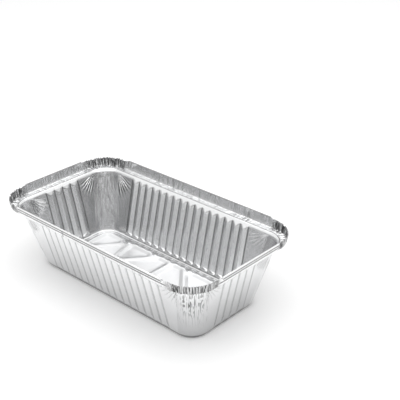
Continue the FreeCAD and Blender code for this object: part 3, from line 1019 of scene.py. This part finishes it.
    def surface(self, tree: TreeBuilder, place: Any, fans: Any) -> bpy.types.NodeSocket:
        """Bump of the crinkles, the crushed places, the fine folds and the rolling lines."""
        crinkle = tree.noise(place, 1 / self.crinkle_size, 2.0)
        crush = tree.math("ABSOLUTE", tree.math("SUBTRACT", tree.noise(place, 1 / self.crush_size, 1.0), 0.5))
        crush = tree.math("MULTIPLY", crush, self.crush_height)
        crush = tree.math("MULTIPLY", crush, self.fact(tree, "crumple"))
        streak = self.sheet_noise(tree, self.streak_size, self.streak_size * 14, 1.0)
        streak = tree.math("MULTIPLY", streak, self.streak_height)
        sway = self.sheet_noise(tree, self.sway_size, self.sway_size * 1.5, 1.0)
        streak = tree.math("ADD", streak, tree.math("MULTIPLY", sway, self.sway_height))
        streak = tree.math("MULTIPLY", streak, self.fact(tree, "streak"))
        stretch = tree.vector_math("MULTIPLY", place, (0.08, 1.0, 1.0))
        rolling = tree.noise(stretch, 1 / self.rolling_pitch, 0.0)
        loose = tree.math("MULTIPLY", self.fact(tree, "calm"), -0.75)
        height = tree.math("MULTIPLY", crinkle, self.crinkle_height)
        height = tree.math("MULTIPLY", height, tree.math("ADD", loose, 1.0))
        height = tree.math("SUBTRACT", height, crush)
        height = tree.math("ADD", height, tree.math("SUBTRACT", streak, fans))
        height = tree.math("ADD", height, tree.math("MULTIPLY", rolling, self.rolling_height))
        bump = tree.node("ShaderNodeBump")
        bump.inputs["Distance"].default_value = 1.0
        tree.feed(bump.inputs["Height"], height)
        return bump.outputs["Normal"]


@dataclass
class FoilTray:
    """The pressed sheet of foil: builds its layout, presses it and gives it its gauge."""

    sizes: SheetSizes = field(default_factory=SheetSizes)
    press: PressSizes = field(default_factory=PressSizes)
    base: BaseSizes = field(default_factory=BaseSizes)
    shades: ShadeSizes = field(default_factory=ShadeSizes)
    finish_and_painted_shade: FoilFinishAndPaintedShade = field(default_factory=FoilFinishAndPaintedShade)

    def __post_init__(self) -> None:
        """Lay out the rows and columns."""
        self.plan = SheetPlan(self.sizes)
        self.layout = SheetLayout(self.plan)
        self.columns = self.layout.columns()
        self.rows = self.layout.rows()
        self.points: list[tuple[float, float, float]] = []
        self.faces: list[tuple[int, ...]] = []
        self.panel_loop: list[int] = []
        self.facts = FactSheet()

    def arc_places(self) -> list[float]:
        """Distance round the rim of each column, in millimetres."""
        places = [self.layout.place(column, self.rows[0]) for column in self.columns]
        total = 0.0
        found = [0.0]
        for before, after in zip(places, places[1:]):
            total += math.hypot(after[0] - before[0], after[1] - before[1])
            found.append(total)
        return found

    def corner_closeness(self, column: Column) -> float:
        """1 on a corner arc, falling to nought along the plain edge beside it."""
        if column.on_corner:
            return 1.0
        if not column.on_panel:
            return 0.0
        row = self.rows[0]
        half = self.plan.straight_half(column.index, row.inset, row.radius)
        valley = self.layout.rib_field(column.index).reach(self.plan, column.index)
        away = (half - valley) * (1 - abs(column.place))
        return max(0.0, 1 - away / self.sizes.hem_end_gap)

    def point_facts(self, column: Column, row: Row, arc: float) -> dict[str, float]:
        """What the press tree needs to know about one point of the sheet."""
        close = self.corner_closeness(column)
        facts = {"arc": arc, "drop": row.drop, "rib_phase": column.rib_phase}
        facts["in_ribs"] = float(column.in_ribs)
        ledge_z = self.plan.section[Level.LEDGE_EDGE][1]
        crease_inset = self.plan.section[Level.CREASE][0]
        ledge_inset = self.plan.section[Level.LEDGE_EDGE][0]
        on_rim = row.inset <= crease_inset
        run_out = 1.0
        if row.inset > ledge_inset:
            run_out = max(0.0, 1 - (row.inset - ledge_inset) / (crease_inset - ledge_inset))
        if on_rim:
            facts["pleat_mask"] = close * run_out
            facts["pleat_phase"] = arc / self.pleat_pitch()
            facts["edge_share"] = max(0.0, (row.height - ledge_z) / self.sizes.upstand_height) ** 3
            below_edge = min(1.0, (self.sizes.tray_height - row.height) / 2)
            facts["ripple_mask"] = (1 - 0.6 * close) * (1.0 if row.inset <= ledge_inset else 0.45)
            facts["ripple_mask"] *= below_edge
            facts["crumple"] = self.crush(column) * (0.35 + 0.65 * run_out)
            if not column.on_corner:
                facts["crumple"] *= below_edge
            facts["streak"] = 0.75
        if column.on_corner and Level.WALL_TOP.value <= row.level.value <= Level.WALL_FOOT.value:
            top_z = self.plan.section[Level.WALL_TOP][1]
            share = min(1.0, max(0.0, (top_z - row.height) / (top_z - self.sizes.wall_foot_height)))
            rise = min(1.0, max(0.0, (crease_inset + 0.5 - row.inset) / -4.0))
            fade = min(1.0, (1 - share) * 3.5)
            facts["crease_mask"] = rise * fade * math.sin(math.pi * column.place) ** 0.5
            facts["crease_phase"] = column.place * 8
            # the dash and crease masks also set where painted shade dashes and lines fall
            facts["dash_mask"] = facts["crease_mask"] * min(1.0, max(0.0, 1.5 - share * 2))
            facts["streak"] = facts["crease_mask"]
            facts["crumple"] = 0.15 * fade * math.sin(math.pi * column.place) ** 0.7
        if column.on_panel and row.level is Level.WALL_FOOT:
            facts |= self.fan_facts(column, row)
        facts["shade"] = self.inner_shade(column, row)
        facts["outer_shade"] = self.outer_shade(column, row)
        return facts

    def foot_shade(self, row: Row) -> float:
        """Painted shade that darkens the wall towards its foot."""
        rise = (row.height - self.sizes.wall_foot_height) / self.sizes.tray_height
        return self.shades.foot * (1 - rise / 0.75)

    def inner_shade(self, column: Column, row: Row) -> float:
        """Painted shade of the inside: bends of the section, ribs, plain panels and corners."""
        # painted shade lines along the rounded bends of the section
        bends = {
            Level.LEDGE_EDGE: 0.5,
            Level.CREASE: 0.4,
            Level.WALL_FOOT: 0.5,
            Level.RING_EDGE: 0.8,
            Level.RING_INNER: 0.3,
        }
        found = bends.get(row.level, 0.0) * row.bend
        if row.level is not Level.WALL_FOOT or row.bend:
            return found
        if column.in_ribs:
            plain = 0.0 if column.index % 2 == 0 else self.shades.short_ribs
            return max(self.foot_shade(row), self.rib_shade(column, row), plain)
        if column.on_corner:
            return max(self.foot_shade(row), self.shades.corners[column.index])
        return max(self.foot_shade(row), self.shades.panels[self.nearest_corner(column)])

    @staticmethod
    def nearest_corner(column: Column) -> int:
        """Corner at the end of the side that a panel column is nearer to."""
        return (column.index + (column.place > 0)) % 4

    def rib_shade(self, column: Column, row: Row) -> float:
        """Painted shade of a rib's valley, its cut foot, and its narrow face between the cut ends."""
        if column.rib_phase == 0.0:
            return self.shades.rib_valley
        long_side = column.index % 2 == 0
        share = 1 - 2 * abs(column.rib_phase - 0.5)
        rise = row.height - self.sizes.wall_foot_height
        if rise < self.press.rib_foot_run * share:
            return self.shades.rib_foot
        below_top = self.plan.section[Level.WALL_TOP][1] - row.height
        turned = column.rib_phase > 0.5 if long_side else column.rib_phase < 0.5
        if not turned or below_top < self.press.rib_top_run * share:
            return 0.0
        return self.shades.long_rib_face if long_side else self.shades.short_rib_face

    def outer_shade(self, column: Column, row: Row) -> float:
        """Painted shade of the outside: rib valleys, the lower wall, the turn under the foot and lines by the
        hem.
        """
        foot_z = self.sizes.wall_foot_height + self.sizes.foil_gauge
        # painted dark line along the turn under the foot, where the contact shadow falls
        if row.level in (Level.WALL_FOOT, Level.RING_EDGE) and row.height <= foot_z:
            return self.shades.foot_line
        if row.level is Level.WALL_FOOT:
            valley = column.in_ribs and column.rib_phase == 0.0
            # painted shade, darker towards the foot
            low = self.shades.outer_foot[column.index % 2]
            low *= 1 - row.height / self.sizes.tray_height / 0.75
            return max(low, self.shades.outer_rib_valley if valley else 0.0)
        if row.level is not Level.LEDGE_EDGE:
            return 0.0
        close = self.corner_closeness(column)
        share = (self.sizes.tray_height - row.height) / self.sizes.upstand_height
        # painted shadow line on the upstand below the hem, and painted shade over the pleated corners
        line = self.shades.upstand_line if 0.52 < share < 0.66 else 0.0
        return blend_value(line, self.shades.outer_pleats, close)

    def pleat_pitch(self) -> float:
        """Spacing of the pleats along the rim."""
        inset = self.plan.section[Level.TOP][0]
        arc_length = self.plan.rim_radius(inset) * math.pi / 2
        return arc_length / self.layout.corner_pleats

    def crush(self, column: Column) -> float:
        """How crushed the rim is: most where the pleats give way to the hem."""
        if column.on_corner:
            return 0.45 + 0.55 * abs(2 * column.place - 1) ** 3
        return min(1.0, self.corner_closeness(column) * 1.6)

    def fan_facts(self, column: Column, row: Row) -> dict[str, float]:
        """Angle of a panel point about the top of its corner, and how strongly it is folded."""
        top_inset, top_z = self.plan.section[Level.WALL_TOP]
        radius = self.plan.rim_radius(top_inset)
        half_top = self.plan.straight_half(column.index, top_inset, radius)
        valley = self.layout.rib_field(column.index).reach(self.plan, column.index)
        half_here = self.plan.straight_half(column.index, row.inset, row.radius)
        along = half_top - blend_value(valley, half_here, abs(column.place))
        down = math.hypot(row.inset - top_inset, top_z - row.height)
        distance = math.hypot(along, down)
        angle = math.degrees(math.atan2(down, along))
        reach = (half_top - valley) * 1.15
        rise = min(1.0, distance / (reach * 0.15))
        fade = min(1.0, max(0.0, (reach - distance) / (reach * 0.3)))
        inside = min(1.0, max(0.0, (angle - 12) / 12)) * min(1.0, max(0.0, (80 - angle) / 10))
        corner = self.nearest_corner(column)
        folded = rise * inside * fade
        strength = self.layout.fan_strengths[corner]
        return {
            "fan_angle": angle,
            "fan_mask": folded * strength,
            "outer_fan_mask": folded * self.layout.outer_fan_strengths[corner],
            "crumple": 0.25 * strength * inside * fade,
        }

    def bevelled(self, column: Column, row: Row) -> Row:
        """Top row moved in and down on the hemmed sides, where the fold slopes inwards."""
        share = 1 - self.corner_closeness(column)
        inset = row.inset + self.sizes.hem_bevel * 0.4 * share
        return replace(row, inset=inset, height=row.height - self.sizes.hem_bevel * share)

    def lay_rows(self) -> None:
        """Lay the closed loops from the rim's edge to the base panel."""
        arcs = self.arc_places()
        count = len(self.columns)
        loops: list[dict[int, int]] = []
        for row in self.rows:
            loop: dict[int, int] = {}
            for index, (column, arc) in enumerate(zip(self.columns, arcs)):
                if column.crosses(row):
                    loop[index] = len(self.points)
                    placed = self.bevelled(column, row) if row is self.rows[0] else row
                    self.points.append((*self.layout.place(column, placed), placed.height))
                    self.facts.add(**self.point_facts(column, row, arc))
            loops.append(loop)
        for upper, lower in zip(loops, loops[1:]):
            held = list(lower)
            for left, right in zip(held, held[1:] + [held[0] + count]):
                above = [upper[index % count] for index in range(left, right + 1) if index % count in upper]
                self.faces.append((*above, lower[right % count], lower[left]))
        self.panel_loop = list(loops[-1].values())

    def lay_hems(self) -> None:
        """Fold the four straight edges over the outside of the upstand."""
        arcs = self.arc_places()
        hem_rows = self.layout.hem_rows()
        for side in range(4):
            inset = self.plan.section[Level.TOP][0]
            half = self.plan.straight_half(side, inset, self.plan.rim_radius(inset))
            limit = half - self.sizes.hem_end_gap + 0.01
            held = []
            for index, column in enumerate(self.columns):
                if column.on_corner or column.index != side:
                    continue
                x, y = self.layout.place(column, self.rows[0])
                along = abs(x) if side % 2 == 0 else abs(y)
                if along <= limit:
                    held.append(index)
            before = held
            for hem_inset, height, shade in hem_rows:
                row = Row(hem_inset, height, self.plan.rim_radius(hem_inset), Level.TOP, 0.0)
                first = len(self.points)
                for index in held:
                    self.points.append((*self.layout.place(self.columns[index], row), height))
                    # each hem point carries its row's painted shade
                    self.facts.add(arc=arcs[index], drop=-1.0, shade=shade)
                after = list(range(first, first + len(held)))
                for step in range(len(held) - 1):
                    self.faces.append((after[step], after[step + 1], before[step + 1], before[step]))
                before = after

    def lay_base(self) -> None:
        """Fill the base panel inside the last loop, with its bars and pads."""
        count = len(self.panel_loop)
        outline = [Vector(self.points[name][:2]) for name in self.panel_loop]
        panel = BasePanel(self.plan, self.base)
        inner, kept = panel.points()
        edges = [(step, (step + 1) % count) for step in range(count)]
        edges += [(count + a, count + b) for a, b in kept]
        flat, _, triangles, sources, _, _ = delaunay_2d_cdt(
            outline + [Vector(point) for point in inner], edges, [], 1, 1e-5
        )
        panel_z = self.plan.section[Level.PANEL][1]
        names: list[int] = []
        for place, source in zip(flat, sources):
            on_edge = [number for number in source if number < count]
            if on_edge:
                names.append(self.panel_loop[on_edge[0]])
                continue
            names.append(len(self.points))
            self.points.append((place.x, place.y, panel_z - panel.sink(place.x, place.y)))
            # painted shade on the base: some everywhere, most halfway down each pad's slope
            share = panel.sink(place.x, place.y) / self.base.pad_depth
            shade = self.base.shade + self.base.slope_shade * 4 * share * (1 - share)
            self.facts.add(arc=place.x, drop=place.y, calm=1.0, shade=shade, outer_shade=shade)
        self.faces += [tuple(names[corner] for corner in triangle) for triangle in triangles]

    def build(self) -> bpy.types.Object:
        """Press the sheet, give it its gauge and put it in the scene in metres.

        Returns:
            The finished piece, at the origin, with no modifiers left on it.
        """
        self.lay_rows()
        self.lay_hems()
        self.lay_base()
        mesh = bpy.data.meshes.new("sheet_layout")
        mesh.from_pydata(self.points, [], self.faces)
        mesh.validate()
        self.facts.write(mesh)
        mesh.polygons.foreach_set("use_smooth", [True] * len(mesh.polygons))
        blank = bpy.data.objects.new("sheet_layout", mesh)
        bpy.context.collection.objects.link(blank)
        material = self.finish_and_painted_shade.build()
        tree = PressTree()
        values: dict[str, Any] = tree.values(self.press, self.plan.section)
        values["Foil Material"] = material
        tree.add_to(blank, values)
        gauge = blank.modifiers.new("gauge", "SOLIDIFY")
        gauge.thickness = self.sizes.foil_gauge
        gauge.offset = -1.0
        graph = bpy.context.evaluated_depsgraph_get()
        pressed = bpy.data.meshes.new_from_object(blank.evaluated_get(graph), depsgraph=graph)
        bpy.data.objects.remove(blank)
        self.settle_outside(pressed)
        pressed.transform(Matrix.Scale(MILLIMETRE, 4))
        pressed.set_sharp_from_angle(angle=math.radians(55))
        pressed.name = "foil_sheet"
        piece = bpy.data.objects.new("foil_sheet", pressed)
        bpy.context.collection.objects.link(piece)
        if not pressed.materials:
            pressed.materials.append(material)
        return piece

    def settle_outside(self, mesh: bpy.types.Mesh) -> None:
        """Give the outer face, the second half of the points, its own painted shade and softer folds."""
        count = len(mesh.vertices)
        inside = count // 2
        names = ("shade", "outer_shade", "fan_mask", "outer_fan_mask", "dash_mask")
        values = {name: np.empty(count, dtype=np.float32) for name in names}
        for name, found in values.items():
            mesh.attributes[name].data.foreach_get("value", found)
        values["shade"][inside:] = values["outer_shade"][inside:]
        values["fan_mask"][inside:] = values["outer_fan_mask"][inside:]
        # the painted shade dashes are fainter on the inside face
        values["dash_mask"][:inside] *= self.shades.inside_dashes
        for name, found in values.items():
            mesh.attributes[name].data.foreach_set("value", found)


@dataclass(frozen=True)
class ViewSizes:
    """Where the camera stands, fitted to the picture."""

    azimuth: float = 43.13
    elevation: float = 26.793
    roll: float = -0.805
    distance: float = 0.7124
    target: tuple[float, float, float] = (-0.020208, 0.084159, 0.030)
    focal_pixels: float = 848.754
    picture_pixels: float = 400.0

    def build(self) -> bpy.types.Object:
        """Make the camera and set it as the scene's."""
        azimuth, elevation, roll = (
            math.radians(value) for value in (self.azimuth, self.elevation, self.roll)
        )
        back = Vector(
            (
                math.sin(azimuth) * math.cos(elevation),
                -math.cos(azimuth) * math.cos(elevation),
                math.sin(elevation),
            )
        )
        level = (-back).cross(Vector((0, 0, 1))).normalized()
        upright = level.cross(-back)
        right = level * math.cos(roll) + upright * math.sin(roll)
        up = upright * math.cos(roll) - level * math.sin(roll)
        eye = Vector(self.target) + back * self.distance
        data = bpy.data.cameras.new("picture_camera")
        data.sensor_fit = "HORIZONTAL"
        data.sensor_width = 36.0
        data.lens = data.sensor_width * self.focal_pixels / self.picture_pixels
        data.clip_start = 0.01
        camera = bpy.data.objects.new("picture_camera", data)
        camera.matrix_world = Matrix(
            [(right[axis], up[axis], back[axis], eye[axis]) for axis in range(3)] + [(0, 0, 0, 1)]
        )
        bpy.context.collection.objects.link(camera)
        bpy.context.scene.camera = camera
        return camera


@dataclass(frozen=True)
class SoftBox:
    """One large soft lamp."""

    name: str
    place: tuple[float, float, float]
    aim: tuple[float, float, float]
    width: float
    depth: float
    watts: float

    def build(self) -> bpy.types.Object:
        """Make the lamp and turn it to its aim."""
        data = bpy.data.lights.new(self.name, "AREA")
        data.shape = "RECTANGLE"
        data.size = self.width
        data.size_y = self.depth
        data.energy = self.watts
        lamp = bpy.data.objects.new(self.name, data)
        lamp.location = self.place
        way = Vector(self.aim) - Vector(self.place)
        lamp.rotation_euler = way.to_track_quat("-Z", "Y").to_euler()
        bpy.context.collection.objects.link(lamp)
        return lamp


@dataclass
class Studio:
    """Pale floor, soft lamps, a plain surround and grey cards for the foil to mirror."""

    floor_half: float = 3.0
    floor_grey: float = 0.93
    floor_camera_lift: float = 0.15
    floor_mirror_lift: float = 0.2
    fill: float = 0.65
    card_gap: float = 0.5
    card_height: float = 0.25
    flag_height: float = 0.20
    flag_way: tuple[float, float] = (0.73, 0.68)
    card_low_grey: float = 0.10
    card_high_grey: float = 0.56
    lamps: Sequence[SoftBox] = (
        SoftBox("top_softbox", (0.1, -0.1, 1.3), (0.0, 0.0, 0.0), 1.8, 1.8, 12.0),
    )

    def build_floor(self) -> bpy.types.Object:
        """Make the floor, which shows white to the camera and keeps the shadow."""
        half = self.floor_half
        mesh = bpy.data.meshes.new("studio_floor")
        corners = [(-half, -half, 0.0), (half, -half, 0.0), (half, half, 0.0), (-half, half, 0.0)]
        mesh.from_pydata(corners, [], [(0, 1, 2, 3)])
        floor = bpy.data.objects.new("studio_floor", mesh)
        bpy.context.collection.objects.link(floor)
        material = bpy.data.materials.new("floor_paper")
        material.use_nodes = True
        shader = material.node_tree.nodes["Principled BSDF"]
        shader.inputs["Base Color"].default_value = (self.floor_grey,) * 3 + (1.0,)
        shader.inputs["Roughness"].default_value = 0.9
        shader.inputs["Specular IOR Level"].default_value = 0.1
        tree = TreeBuilder(material.node_tree)
        path = tree.node("ShaderNodeLightPath").outputs
        mirrored = tree.math("MAXIMUM", path["Is Glossy Ray"], path["Is Transmission Ray"])
        lift = tree.math("MULTIPLY", path["Is Camera Ray"], self.floor_camera_lift)
        lift = tree.math("MAXIMUM", lift, tree.math("MULTIPLY", mirrored, self.floor_mirror_lift))
        tree.feed(shader.inputs["Emission Color"], tree.combine(lift, lift, lift))
        shader.inputs["Emission Strength"].default_value = 1.0
        mesh.materials.append(material)
        return floor

    def build_world(self) -> None:
        """Surround that is white to the camera and in the foil, and a plain fill light."""
        world = bpy.data.worlds.new("studio_surround")
        bpy.context.scene.world = world
        world.use_nodes = True
        tree = TreeBuilder(world.node_tree)
        background = world.node_tree.nodes["Background"]
        path = tree.node("ShaderNodeLightPath").outputs
        seen = tree.math("MAXIMUM", path["Is Camera Ray"], path["Is Glossy Ray"])
        seen = tree.math("MAXIMUM", seen, path["Is Transmission Ray"])
        tree.feed(background.inputs["Strength"], tree.math("MAXIMUM", seen, self.fill))
        background.inputs["Color"].default_value = (1.0, 1.0, 1.0, 1.0)

    def build_cards(self, half_length: float, half_width: float) -> bpy.types.Object:
        """Make a ring of grey cards round the object, taller at two sides, which only foil mirrors.

        Args:
            half_length: half of the object along X.
            half_width: half of the object along Y.

        Returns:
            The ring of cards.
        """
        reach_x = half_length + self.card_gap
        reach_y = half_width + self.card_gap
        steps = 64
        outline = []
        for step in range(steps):
            angle = math.tau * step / steps
            x = math.copysign(abs(math.cos(angle)) ** 0.4, math.cos(angle))
            y = math.copysign(abs(math.sin(angle)) ** 0.4, math.sin(angle))
            outline.append((x * reach_x, y * reach_y))
        points = [(x, y, 0.001) for x, y in outline]
        for x, y in outline:
            side = (x * self.flag_way[0] + y * self.flag_way[1]) / math.hypot(x, y)
            points.append((x, y, self.card_height + self.flag_height * side**8))
        faces = [
            (step, (step + 1) % steps, steps + (step + 1) % steps, steps + step)
            for step in range(steps)
        ]
        mesh = bpy.data.meshes.new("grey_cards")
        mesh.from_pydata(points, [], faces)
        cards = bpy.data.objects.new("grey_cards", mesh)
        bpy.context.collection.objects.link(cards)
        material = bpy.data.materials.new("grey_card")
        material.use_nodes = True
        tree = TreeBuilder(material.node_tree)
        material.node_tree.nodes.remove(material.node_tree.nodes["Principled BSDF"])
        split = tree.node("ShaderNodeSeparateXYZ")
        tree.feed(split.inputs[0], tree.node("ShaderNodeTexCoord").outputs["Object"])
        share = tree.ramp(split.outputs["Z"], self.card_height * 0.35, self.card_height)
        glow = tree.node("ShaderNodeEmission")
        level = tree.math("MULTIPLY", share, self.card_high_grey - self.card_low_grey)
        tree.feed(glow.inputs["Strength"], tree.math("ADD", level, self.card_low_grey))
        tree.feed(material.node_tree.nodes["Material Output"].inputs["Surface"], glow.outputs[0])
        mesh.materials.append(material)
        cards.visible_camera = False
        cards.visible_diffuse = False
        cards.visible_shadow = False
        return cards

    def build(self, half_length: float, half_width: float) -> None:
        """Make the floor, the surround, the cards and the lamps."""
        self.build_floor()
        self.build_world()
        self.build_cards(half_length, half_width)
        for lamp in self.lamps:
            lamp.build()
        bpy.context.scene.view_settings.view_transform = "Standard"


def main() -> None:
    """Build the tray, the studio and the camera, and report each piece."""
    logging.basicConfig(level=logging.INFO, format="%(message)s")
    piece = FoilTray().build()
    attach(piece, "root")
    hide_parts("foil_tray")
    triangles = sum(len(polygon.vertices) - 2 for polygon in piece.data.polygons)
    LOG.info("%s: %d triangles", piece.name, triangles)
    Studio().build(CAD_BOUNDS[1][0], CAD_BOUNDS[1][1])
    ViewSizes().build()


if __name__ == "__main__":
    main()
